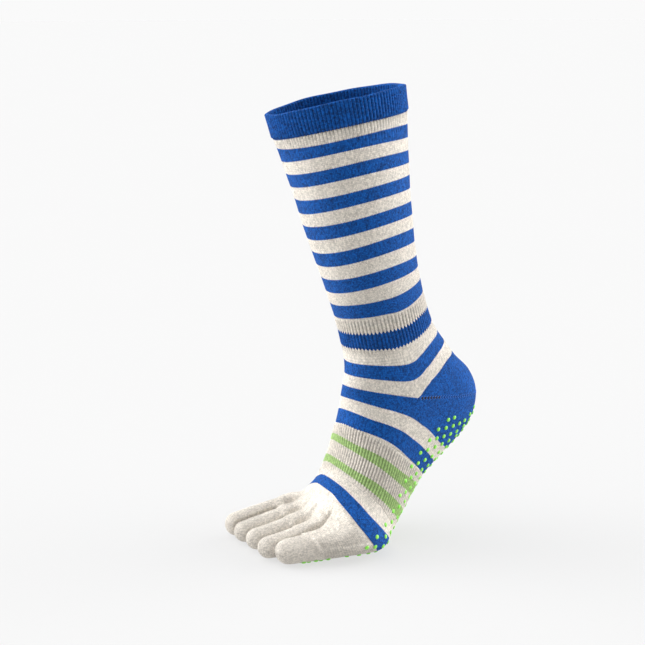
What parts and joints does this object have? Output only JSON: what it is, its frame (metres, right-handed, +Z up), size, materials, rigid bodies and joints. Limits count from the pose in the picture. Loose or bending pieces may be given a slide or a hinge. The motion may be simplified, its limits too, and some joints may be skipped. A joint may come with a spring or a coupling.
{
  "type": "toe sock",
  "caption": "Mid-calf knitted toe sock for a right foot, raised on its toes, with a ribbed cuff, ribbed ankle and arch bands, a turned heel and separate toe tubes.",
  "frame": {"origin": "middle of the leg opening, at the top edge of the cuff", "axes": "+X towards the toes, +Y towards the big-toe side, +Z up the leg, away from the floor under the toes"},
  "size_m": [0.2165, 0.1374, 0.3824],
  "materials": {
    "cuff_blue": "matte rib knit",
    "heel_blue": "matte fine knit",
    "striped_knit": "matte fine knit, cream with blue stripes",
    "ribbed_knit": "matte rib knit, cream with blue and green stripes",
    "cream_knit": "matte fine knit, cream"
  },
  "bodies": {
    "root": {"cuff": "cuff_blue", "leg": "striped_knit", "ankle_band": "ribbed_knit", "ankle": "striped_knit", "heel": "heel_blue", "instep": "striped_knit", "arch_band": "ribbed_knit", "forefoot": "cream_knit", "big_toe": "cream_knit", "second_toe": "cream_knit", "third_toe": "cream_knit", "fourth_toe": "cream_knit", "little_toe": "cream_knit"}
  },
  "joints": []
}
